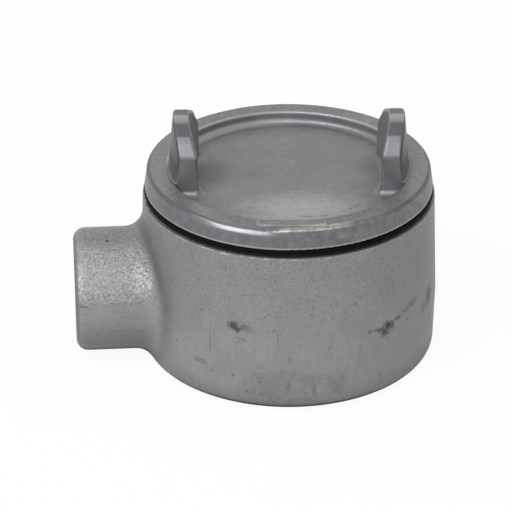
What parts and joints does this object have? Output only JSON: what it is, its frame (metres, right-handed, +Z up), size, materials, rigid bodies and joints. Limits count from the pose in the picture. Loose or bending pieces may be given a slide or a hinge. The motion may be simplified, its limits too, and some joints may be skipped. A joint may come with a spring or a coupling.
{
  "type": "threaded round junction box",
  "caption": "Round cast conduit junction box with a threaded side hub, a screwed cover with wrench lugs and a rubber sealing ring, for joining wires in conduit runs.",
  "frame": {"origin": "centre of the flat base that the box stands on", "axes": "+Z up along the axis of the box and its screwed cover, -X out along the conduit hub"},
  "size_m": [0.1233, 0.1006, 0.0855],
  "materials": {
    "box": "satin",
    "cover": "satin",
    "ring": "matte",
    "screw": "satin"
  },
  "bodies": {
    "box": {"box_body": "box", "ground_screw": "screw"},
    "seal": {"cover_o_ring": "ring"},
    "cover": {"cover": "cover"}
  },
  "joints": [
    {"name": "cover_lift", "type": "slide", "parent": "box", "child": "seal", "axis": [0, 0, 1], "range_m": [0, 0.01482]},
    {"name": "cover_turn", "type": "hinge", "parent": "seal", "child": "cover", "pos_m": [0, 0, 0.0596], "axis": [0, 0, 1], "range_deg": [0, 2520]}
  ],
  "couplings": [
    {"joint": "cover_lift", "follows": "cover_turn", "m_per_rad": 0.00033688}
  ]
}
